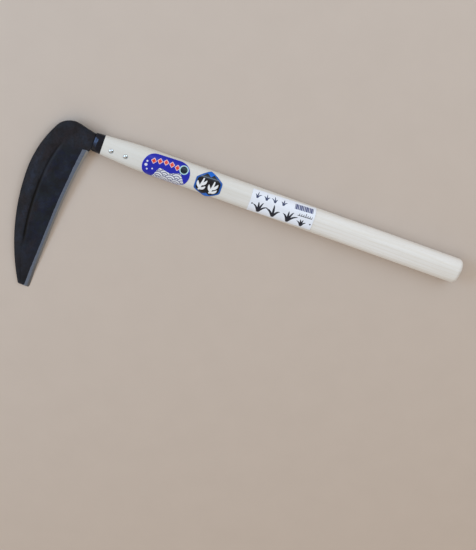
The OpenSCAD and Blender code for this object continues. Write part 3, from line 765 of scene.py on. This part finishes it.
def bars(p, q):
    """A block of upright bars, 22 by 6 mm, two millimetres apart, each third one wide."""
    inside = np.maximum(np.abs(p - 24.0) - 11.0, np.abs(q - 8.4) - 3.1)
    apart, thin, thick = 2.0, 0.65, 0.95
    step = (p - 13.0) / apart
    wide = np.where(np.round(step) % 3 == 1, thick, thin)
    return np.maximum(inside, np.abs(step - np.round(step)) * apart - wide)


def ruler(p, q):
    """A plain scale: a line with a mark every 2.5 mm, each fourth mark longer."""
    apart, foot, half_thick = 2.5, -0.6, 0.4
    step = (p - 18.0) / apart
    mark = np.abs(step - np.round(step)) * apart - half_thick
    top = foot + np.where(np.round(step) % 4 == 0, 4.0, 2.4)
    marks = np.maximum.reduce([mark, q - top, foot - q])
    line = np.abs(q - foot) - half_thick
    return np.maximum(np.minimum(marks, line), np.abs(p - 27.0) - 8.6)


PAPER_FIELDS = {
    "brush": lambda p, q: near_strokes(p, q, BRUSH, 10),
    "small_brush": lambda p, q: near_strokes(p, q, SMALL_BRUSH, 8),
    "bars": bars,
    "ruler": ruler,
    "dots": lambda p, q: discs(p, q, DOTS),
}


def slightly_loose(p, q):
    """The oval label's film, which lies uneven on its glue by a few hundredths of a mm."""
    return 0.02 + 0.02 * waves(p, q, 12, 3, 2)


def lift_corner(p, q):
    """The six-sided label's lower corner has come unstuck: it rises to 1.3 mm there."""
    return 1.3 * smooth(-q + 0.25 * p, 11.0, 19.0)


def paper_creases(p, q):
    """Slight cockling of the paper: soft ripples of up to a tenth of a millimetre, and the
    ends just off the wood."""
    ends = smooth(np.abs(p), 34.0, 38.0) * 0.12
    return 0.05 + 0.05 * waves(p, q, 14, 4, 11) + ends


# Materials

# For each kind of shader node: the inputs that add() fills, in this order, the output that it
# gives, and its usual settings
NODES = {
    "Attribute": ((), "Fac", {}),
    "Bump": (("Height", "Distance"), "Normal", {}),
    "CombineXYZ": (("X", "Y", "Z"), "Vector", {}),
    "MapRange": (("Value", "From Min", "From Max", "To Min", "To Max"), "Result",
                 {"interpolation_type": "SMOOTHSTEP"}),
    "Mapping": (("Vector", "Scale"), "Vector", {}),
    "Math": ((0, 1, 2), "Value", {}),
    "Mix": ((0, 6, 7), 2, {"data_type": "RGBA"}),
    "SeparateXYZ": (("Vector",), "X", {}),
    "TexCoord": ((), "Object", {}),
    "TexNoise": (("Vector", "Scale", "Detail", "Roughness"), "Fac", {}),
    "VectorMath": ((0, 1), "Value", {}),
}


def ink(code, alpha=1.0):
    """An sRGB hex code as a linear colour."""
    c = np.array([int(code[i:i + 2], 16) for i in (1, 3, 5)]) / 255
    c = np.where(c <= 0.04045, c / 12.92, ((c + 0.055) / 1.055) ** 2.4)
    return (*c.tolist(), alpha)


def add(tree, kind, *values, **settings):
    """Adds a shader node, makes its settings, fills its inputs with values or links, and gives
    its output."""
    inputs, output, usual = NODES[kind]
    node = tree.nodes.new("ShaderNode" + kind)
    for name, value in {**usual, **settings}.items():
        setattr(node, name, value)
    for name, value in zip(inputs, values):
        if isinstance(value, bpy.types.NodeSocket):
            tree.links.new(value, node.inputs[name])
        else:
            node.inputs[name].default_value = value
    return node.outputs[output]


def material(name, fields=(), **settings):
    """A new material with its one shader, whose even numbers and colours are set here. Gives
    the material, its node tree, its shader, the place on the object and, by name, the fields
    that are kept on the mesh's points."""
    made = bpy.data.materials.new(name)
    made.use_nodes = True
    tree = made.node_tree
    shader = tree.nodes["Principled BSDF"]
    for key, value in settings.items():
        shader.inputs[key.replace("_", " ")].default_value = value
    kept = {field: add(tree, "Attribute", attribute_name=field) for field in fields}
    return made, tree, shader, add(tree, "TexCoord"), kept


def feed(shader, **links):
    """Links sockets to the shader's inputs, with _ for the blank in their names."""
    for key, socket in links.items():
        shader.id_data.links.new(socket, shader.inputs[key.replace("_", " ")])


def noise_of(tree, place, size_mm, detail=3.0, stretch=(1, 1, 1), rough=0.55):
    """Noise whose lumps are about size_mm wide, stretched along some axes."""
    scaled = add(tree, "Mapping", place, [1 / s for s in stretch])
    return add(tree, "TexNoise", scaled, 1 / (size_mm * MM), detail, rough)


def wander(tree, place, size_mm, swing):
    """Noise about zero, half of swing to each side, for a line to wander by."""
    centred = add(tree, "Math", noise_of(tree, place, size_mm, 2), 0.5, operation="SUBTRACT")
    return add(tree, "Math", centred, swing, operation="MULTIPLY")


def coats(tree, base, layers):
    """Lays colours over a base, one after another: each layer is a value, what that is where
    the colour sets in and where it is full, how far it covers at most, and the colour."""
    for value, empty, full, most, colour in layers:
        cover = add(tree, "MapRange", value, empty, full, 0, most)
        base = add(tree, "Mix", cover, base, ink(colour))
    return base


def wheel_lines(tree, along, across, wide_mm):
    """The wheel's lines square to the edge, by the blade's own fields, which are in mm: noise
    14 times longer than wide, far coarser than the grit so that it shows."""
    place = add(tree, "CombineXYZ", along, across)
    return noise_of(tree, place, wide_mm / MM, 3, (1, 14, 1))


def printed(tree, base, kept, layers):
    """Layers of ink on a ground: each is a field, its distance where the ink sets in and where
    it is full, and a colour."""
    return coats(tree, base, [(kept[name], empty, full, 1, colour)
                              for name, empty, full, colour in layers])


def forge_scale():
    """Forge scale on soft iron: black oxide left by the fire, slate blue and softly mottled,
    scorched to a purple brown in places, satin, with hammered unevenness and fine pits. It is
    paler in a few patches and in streaks along the band, which are a painted sheen. Painted
    shade darkens the crease, the rounded back edge and a band along the neck's top. The bevel
    is ground through it to bare iron, in fine lines square to the edge."""
    made, tree, shader, place, kept = material("forge_scale_on_soft_iron", (
        "flank", "scorched", "worn", "shaded", "tip_grey", "crease", "from_crease", "from_back",
        "from_bevel", "ground", "along"), IOR=1.3)
    clouds = add(tree, "MapRange", noise_of(tree, place, 11, 3), 0.35, 0.65)
    stains = noise_of(tree, place, 7, 4, (1, 2.2, 1), 0.7)
    patches = noise_of(tree, place, 21, 4, rough=0.7)
    mottle = noise_of(tree, place, 10, 4, (1, 1.5, 1), 0.6)
    specks = noise_of(tree, place, 2.2, 3)
    band = add(tree, "Mix", clouds, ink("#1A202B"), ink("#20242D"))
    band = coats(tree, band, [(stains, 0.46, 0.62, 0.7, "#27232A")])
    flank = add(tree, "Mix", clouds, ink("#0C152D"), ink("#141C2C"))
    flank = coats(tree, flank, [(patches, 0.42, 0.6, 0.75, "#141D24")])
    scale = add(tree, "Mix", kept["flank"], band, flank)
    # worn: paler scale, and a painted sheen along the band; shaded: darker scale, and a painted
    # dark reflection along the neck's top
    for name, most, colour in (("scorched", 0.9, "#221F26"), ("worn", 0.9, "#252C3C"),
                               ("shaded", 0.8, "#111319"), ("tip_grey", 0.7, "#191B23")):
        cover = add(tree, "Math", kept[name], most, operation="MULTIPLY")
        scale = add(tree, "Mix", cover, scale, ink(colour))
    scale = coats(tree, scale, [
        (mottle, 0.5, 0.68, 0.25, "#2A3448"), (mottle, 0.48, 0.32, 0.5, "#07090E"),
        (specks, 0.6, 0.3, 0.4, "#0E1016"),
    ])
    # Painted shade: the scale is darkened towards black along the crease's line
    off_crease = add(tree, "Math", kept["from_crease"], operation="ABSOLUTE")
    painted_crease_shade = add(tree, "Math", kept["crease"],
                 add(tree, "MapRange", off_crease, 2.3, 0.7, 0, 0.85), operation="MULTIPLY")
    scale = add(tree, "Mix", painted_crease_shade, scale, ink("#030304"))
    # Painted shade along the rounded back edge, within 1.6 mm of the back
    scale = coats(tree, scale, [(kept["from_back"], 1.6, 0.4, 0.6, "#0A0B0E")])
    off_bevel = add(tree, "Math", kept["from_bevel"], wander(tree, place, 5, 0.8),
                    operation="ADD")
    bare = add(tree, "Math", add(tree, "MapRange", off_bevel, -0.1, 0.25),
               add(tree, "MapRange", kept["ground"], 0.3, 0.6), operation="MULTIPLY")
    lines = wheel_lines(tree, kept["along"], kept["from_bevel"], 0.9)
    iron = add(tree, "Mix", lines, ink("#64718A"), ink("#91A0BB"))
    pits = add(tree, "Math", specks, 0.5, noise_of(tree, place, 7, 2), operation="MULTIPLY_ADD")
    height = add(tree, "Mix", bare, pits, add(tree, "Math", lines, 0.4, operation="MULTIPLY"))
    feed(shader, Base_Color=add(tree, "Mix", bare, scale, iron),
           Metallic=add(tree, "Math", bare, 0.85, operation="MULTIPLY"),
           Roughness=add(tree, "MapRange", specks, 0, 1, 0.42, 0.6, interpolation_type="LINEAR"),
           Normal=add(tree, "Bump", height, 0.16 * MM))
    return made


def ground_steel():
    """Carbon steel ground bright: the strip along the edge is finer and lighter than the iron
    over it, lightest towards the heel, and below it is ground too, with scale left where the
    wheel did not reach."""
    made, tree, shader, place, kept = material("ground_carbon_steel", (
        "from_edge", "along", "below"))
    specks = noise_of(tree, place, 2.2, 3)
    lines = wheel_lines(tree, kept["along"], kept["from_edge"], 0.8)
    steel = add(tree, "Mix", lines, ink("#82868D"), ink("#A2A6AD"))
    steel = coats(tree, steel, [(kept["along"], 130, 15, 0.3, "#CDCED0"),
                                (kept["along"], 135, 180, 0.75, "#6A6E77")])
    off_edge = add(tree, "Math", kept["from_edge"], wander(tree, place, 9, 3.0), operation="ADD")
    scaled = add(tree, "Math", kept["below"], add(tree, "MapRange", off_edge, 8.6, 9.4),
                 operation="MULTIPLY")
    feed(shader, Base_Color=add(tree, "Mix", scaled, steel, ink("#24262C")),
           Metallic=add(tree, "Math", scaled, -0.9, 0.9, operation="MULTIPLY_ADD"),
           Roughness=add(tree, "MapRange", specks, 0, 1, 0.34, 0.46, interpolation_type="LINEAR"),
           Normal=add(tree, "Bump", lines, 0.02 * MM))
    return made


def pale_wood():
    """Planed and sanded white magnolia: nearly white, in straight faint lines of cream where
    the growth rings meet the surface, with short fine pores along the grain. It is painted a
    little greyer towards the blade, as shade for the light that falls off along the handle.
    The rings are a sine of the distance from the tree's middle, which lay 55 mm below the handle."""
    made, tree, shader, place, _ = material("sanded_white_magnolia", IOR=1.45, Roughness=0.55)
    bend = noise_of(tree, place, 60, 2, (6, 1, 1))
    parts = add(tree, "SeparateXYZ", place).node.outputs
    y = add(tree, "Math", bend, 12 * MM, parts["Y"], operation="MULTIPLY_ADD")
    z = add(tree, "Math", parts["Z"], 55 * MM, operation="ADD")
    ring = add(tree, "VectorMath", add(tree, "CombineXYZ", 0, y, z), operation="LENGTH")
    turns = add(tree, "Math", ring, 2 * np.pi / (3.1 * MM), operation="MULTIPLY")
    rings = add(tree, "Math", turns, operation="SINE")
    broad = noise_of(tree, place, 9, 2, (14, 1, 1))
    streaks = noise_of(tree, place, 1.6, 3, (26, 1, 1))
    pores = noise_of(tree, place, 0.5, 2, (12, 1, 1))
    clouds = add(tree, "MapRange", broad, 0.35, 0.7)
    tone = add(tree, "Mix", clouds, ink("#E6E6E6"), ink("#E1E0DE"))
    tone = coats(tree, tone, [
        (rings, 0.1, 1.0, 0.28, "#D8D2C8"), (streaks, 0.5, 0.8, 0.35, "#D9D3C8"),
        # greyer towards the blade along X: painted shade for the light falling off along the
        # handle
        (pores, 0.62, 0.75, 0.3, "#C0B49F"), (parts["X"], 0.15, -0.15, 0.6, "#CCCDCA"),
    ])
    height = add(tree, "Math", pores, 0.5, streaks, operation="MULTIPLY_ADD")
    feed(shader, Base_Color=tone, Normal=add(tree, "Bump", height, 0.03 * MM))
    return made


def black_enamel():
    """Black enamel dipped on thin sheet steel: deep, glossy, with a slight orange peel."""
    made, tree, shader, place, _ = material("black_enamel_on_sheet_steel", IOR=1.44,
                                            Specular_Tint=ink("#C6D2FF"))
    cloud = noise_of(tree, place, 3, 3)
    black = add(tree, "MapRange", cloud, 0.35, 0.7)
    feed(shader, Base_Color=add(tree, "Mix", black, ink("#060709"), ink("#0A0B0E")),
           Roughness=add(tree, "MapRange", cloud, 0, 1, 0.10, 0.18, interpolation_type="LINEAR"),
           Normal=add(tree, "Bump", noise_of(tree, place, 1.8, 2), 0.03 * MM))
    return made


def nickel_plate():
    """Nickel plate on pressed steel: bright, and cool in a blue light, with fine handling
    scratches."""
    made, tree, shader, place, _ = material("nickel_plate_on_steel", Metallic=1.0)
    scratch = noise_of(tree, place, 0.5, 3, (6, 1, 1))
    feed(shader, Base_Color=add(tree, "Mix", scratch, ink("#B9C4D2"), ink("#D8E0EA")),
           Roughness=add(tree, "MapRange", scratch, 0, 1, 0.12, 0.24, interpolation_type="LINEAR"),
           Normal=add(tree, "Bump", scratch, 0.006 * MM))
    return made


def oval_print():
    """Gloss film printed in deep blue, with white wave scales, a row of red lozenges and a
    dark moon."""
    made, tree, shader, place, kept = material("gloss_film_deep_blue", OVAL_FIELDS,
                                               IOR=1.34, Roughness=0.28)
    base = add(tree, "Mix", noise_of(tree, place, 12, 2), ink("#1C24A2"), ink("#1F2AB4"))
    scales = printed(tree, ink("#3A3C74"), kept, [("waves", 0.2, 0.6, "#DCE0E8")])
    base = add(tree, "Mix", add(tree, "MapRange", kept["sea"], 0.0, -0.5), base, scales)
    base = printed(tree, base, kept, [
        ("lozenges", 0.75, 0.55, "#E9C7C4"), ("lozenges", 0.0, -0.2, "#D9402E"),
        ("moon", 1.2, 0.8, "#B4DDE2"), ("moon", 0.0, -0.3, "#0F2230"),
        ("stars", 0.2, -0.2, "#DDE0F0"), ("rim", 0.9, 0.3, "#343AC4"),
    ])
    relief = add(tree, "Bump", noise_of(tree, place, 6, 2), 0.03 * MM)
    feed(shader, Base_Color=base, Normal=relief)
    return made


def six_print():
    """Gloss film printed black inside a bright blue border, with two white sprigs."""
    made, tree, shader, place, kept = material("gloss_film_black_and_blue", SIX_FIELDS,
                                               IOR=1.36, Roughness=0.26)
    border = add(tree, "Mix", noise_of(tree, place, 8, 2), ink("#14509E"), ink("#195EB8"))
    base = printed(tree, border, kept, [
        ("field", 0.0, 0.12, "#12161E"), ("line", 0.2, -0.1, "#5E6878"),
        ("gems", 0.1, -0.2, "#1268D2"), ("sprigs", 0.15, -0.1, "#E8ECF2"),
    ])
    relief = add(tree, "Bump", noise_of(tree, place, 6, 2), 0.03 * MM)
    feed(shader, Base_Color=base, Normal=relief)
    return made


def paper_print():
    """Coated paper, bluish white, with brush strokes, bars and a scale in dark ink. The brush
    was a little dry, so the large strokes have uneven edges."""
    made, tree, shader, place, kept = material("coated_paper_bluish_white", PAPER_FIELDS,
                                               IOR=1.45, Roughness=0.5)
    base = add(tree, "Mix", noise_of(tree, place, 10, 3), ink("#E2E9F7"), ink("#EAF0FC"))
    kept["brush"] = add(tree, "Math", kept["brush"], wander(tree, place, 0.8, 0.5),
                        operation="ADD")
    base = printed(tree, base, kept, [
        ("brush", 0.1, -0.15, "#121829"), ("small_brush", 0.15, -0.15, "#28345C"),
        ("bars", 0.12, -0.08, "#3C4678"), ("ruler", 0.1, -0.1, "#2A2C3A"),
        ("dots", 0.1, -0.1, "#33343C"),
    ])
    relief = add(tree, "Bump", noise_of(tree, place, 4, 3), 0.04 * MM)
    feed(shader, Base_Color=base, Normal=relief)
    return made


# Building

def dress(piece, made, slot, *replaced):
    """Gives a piece its material and its body, and hides the imported parts that it replaces. The
    slot is not used.
    """
    piece.data.materials.append(made)
    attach(piece, "root")
    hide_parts(*replaced)


scale = forge_scale()
dress(forged_body(), scale, "forged_iron", "blade_body")
dress(tang(), scale, "forged_iron", "blade_body")
dress(hard_steel(), ground_steel(), "edge_steel", "edge_steel")
dress(round_label("oval_print", oval_inside, OVAL_AT, OVAL_FIELDS, slightly_loose),
      oval_print(), "oval_label", "oval_label")
dress(round_label("six_sided_print", six_inside, SIX_AT, SIX_FIELDS, lift_corner),
      six_print(), "six_sided_label", "six_sided_label")
dress(square_label("paper_print", PAPER_SIZE, PAPER_AT, PAPER_FIELDS, paper_creases),
      paper_print(), "paper_label", "paper_label")
dress(ferrule_cup(), black_enamel(), "ferrule", "ferrule")
dress(wooden_handle(), pale_wood(), "handle", "handle")

nickel = nickel_plate()
for name in ("front_rivet_stud", "front_rivet_cap", "rear_rivet_stud", "rear_rivet_cap"):
    nodes[name].data.materials.clear()
    nodes[name].data.materials.append(nickel)


# The floor, the camera and the light

# Half the floor's side and where its paler outer part begins and is reached, in metres
FLOOR_HALF, FLOOR_PALER = 60.0, (0.65, 2.0)
# The fitted camera's right, down and forward in the maker's frame, its place there, and its
# focal length and the picture's long side in pixels, with a sensor in mm to match
RIGHT, DOWN, FORWARD = (0.933, 0.360, 0.0), (0.3193, -0.8275, 0.4617), (0.1662, -0.4308, -0.8870)
EYE = (12.37, 408.32, 1040.42)
FOCAL_PIXELS, LONG_SIDE, SENSOR = 1000.0, 550.0, 36.0
# The way in which the room's light leans and its level, and the onlooker's direction, with the
# cosines at which they set in and are full, and how dark they are
ROOM_LEAN, ROOM_LEVEL = (-0.3, 0.11, 0.0), 1.03
ONLOOKER, ONLOOKER_WIDE, ONLOOKER_DARK = (0.76, -0.21, 0.61), (0.9, 0.975), -0.85


def floor():
    """A plain pale floor under the tool, wide enough for every view. It is paler beyond the
    lamps' reach, so that it looks even all the way out."""
    made, tree, shader, place, _ = material("plain_floor", Roughness=0.8)
    near = add(tree, "Mix", noise_of(tree, place, 40, 3), ink("#C3B7AE"), ink("#C8BCB3"))
    out = add(tree, "VectorMath", place, operation="LENGTH")
    far_off = add(tree, "MapRange", out, *FLOOR_PALER)
    feed(shader, Base_Color=add(tree, "Mix", far_off, near, ink("#D6D5DF")))
    corners = FLOOR_HALF * np.array([[-1, -1, 0], [1, -1, 0], [1, 1, 0], [-1, 1, 0]])
    piece = mesh_piece("floor", corners, [[0, 1, 2, 3]], smooth_faces=False)
    piece.data.materials.append(made)


def turned(direction):
    """A direction of the maker's frame in the frame's axes."""
    return Vector(laid(direction) - laid([0, 0, 0])).normalized()


def camera():
    """The camera fitted to the photograph's outlines."""
    data = bpy.data.cameras.new("camera")
    data.sensor_width = SENSOR
    data.lens = FOCAL_PIXELS * SENSOR / LONG_SIDE
    data.clip_start, data.clip_end = 0.01, 50
    piece = linked("camera", data)
    turn = Matrix([turned(RIGHT), -turned(DOWN), -turned(FORWARD)]).transposed().to_4x4()
    piece.matrix_world = Matrix.Translation(Vector(laid(EYE))) @ turn
    bpy.context.scene.camera = piece


def lamp(name, place, target, size, power, colour):
    """A rectangular soft light at a place in the maker's frame, turned to a target."""
    data = bpy.data.lights.new(name, "AREA")
    data.shape, data.size, data.size_y = "RECTANGLE", size[0], size[1]
    data.energy, data.color = power, colour
    piece = linked(name, data)
    piece.location = Vector(laid(place))
    away = Vector(laid(target)) - piece.location
    piece.rotation_euler = away.to_track_quat("-Z", "Y").to_euler()


def surroundings():
    """A pale room: a plain world that lights softly, evenly brighter towards the window's
    side, with an onlooker as a dark spot for the bright metal to reflect."""
    world = bpy.data.worlds.new("room")
    bpy.context.scene.world = world
    world.use_nodes = True
    tree = world.node_tree
    back = tree.nodes["Background"]
    back.inputs["Color"].default_value = ink("#D8C9B6")
    way = add(tree, "TexCoord").node.outputs["Generated"]
    lean = add(tree, "VectorMath", way, ROOM_LEAN, operation="DOT_PRODUCT")
    facing = add(tree, "VectorMath", way, ONLOOKER, operation="DOT_PRODUCT")
    shade = add(tree, "MapRange", facing, *ONLOOKER_WIDE, 0, ONLOOKER_DARK)
    light = add(tree, "Math", lean, ROOM_LEVEL, operation="ADD")
    feed(back, Strength=add(tree, "Math", light, shade, operation="ADD"))


floor()
camera()
lamp("window", (-1250, 0, 950), (60, -60, 0), (1.2, 0.6), 12.0, (0.46, 0.72, 1.0))
lamp("fill", (600, 1100, 1150), (100, -40, 0), (1.2, 1.0), 10.5, (0.56, 0.78, 1.0))
surroundings()
bpy.context.scene.view_settings.view_transform = "Standard"

bpy.context.view_layer.update()
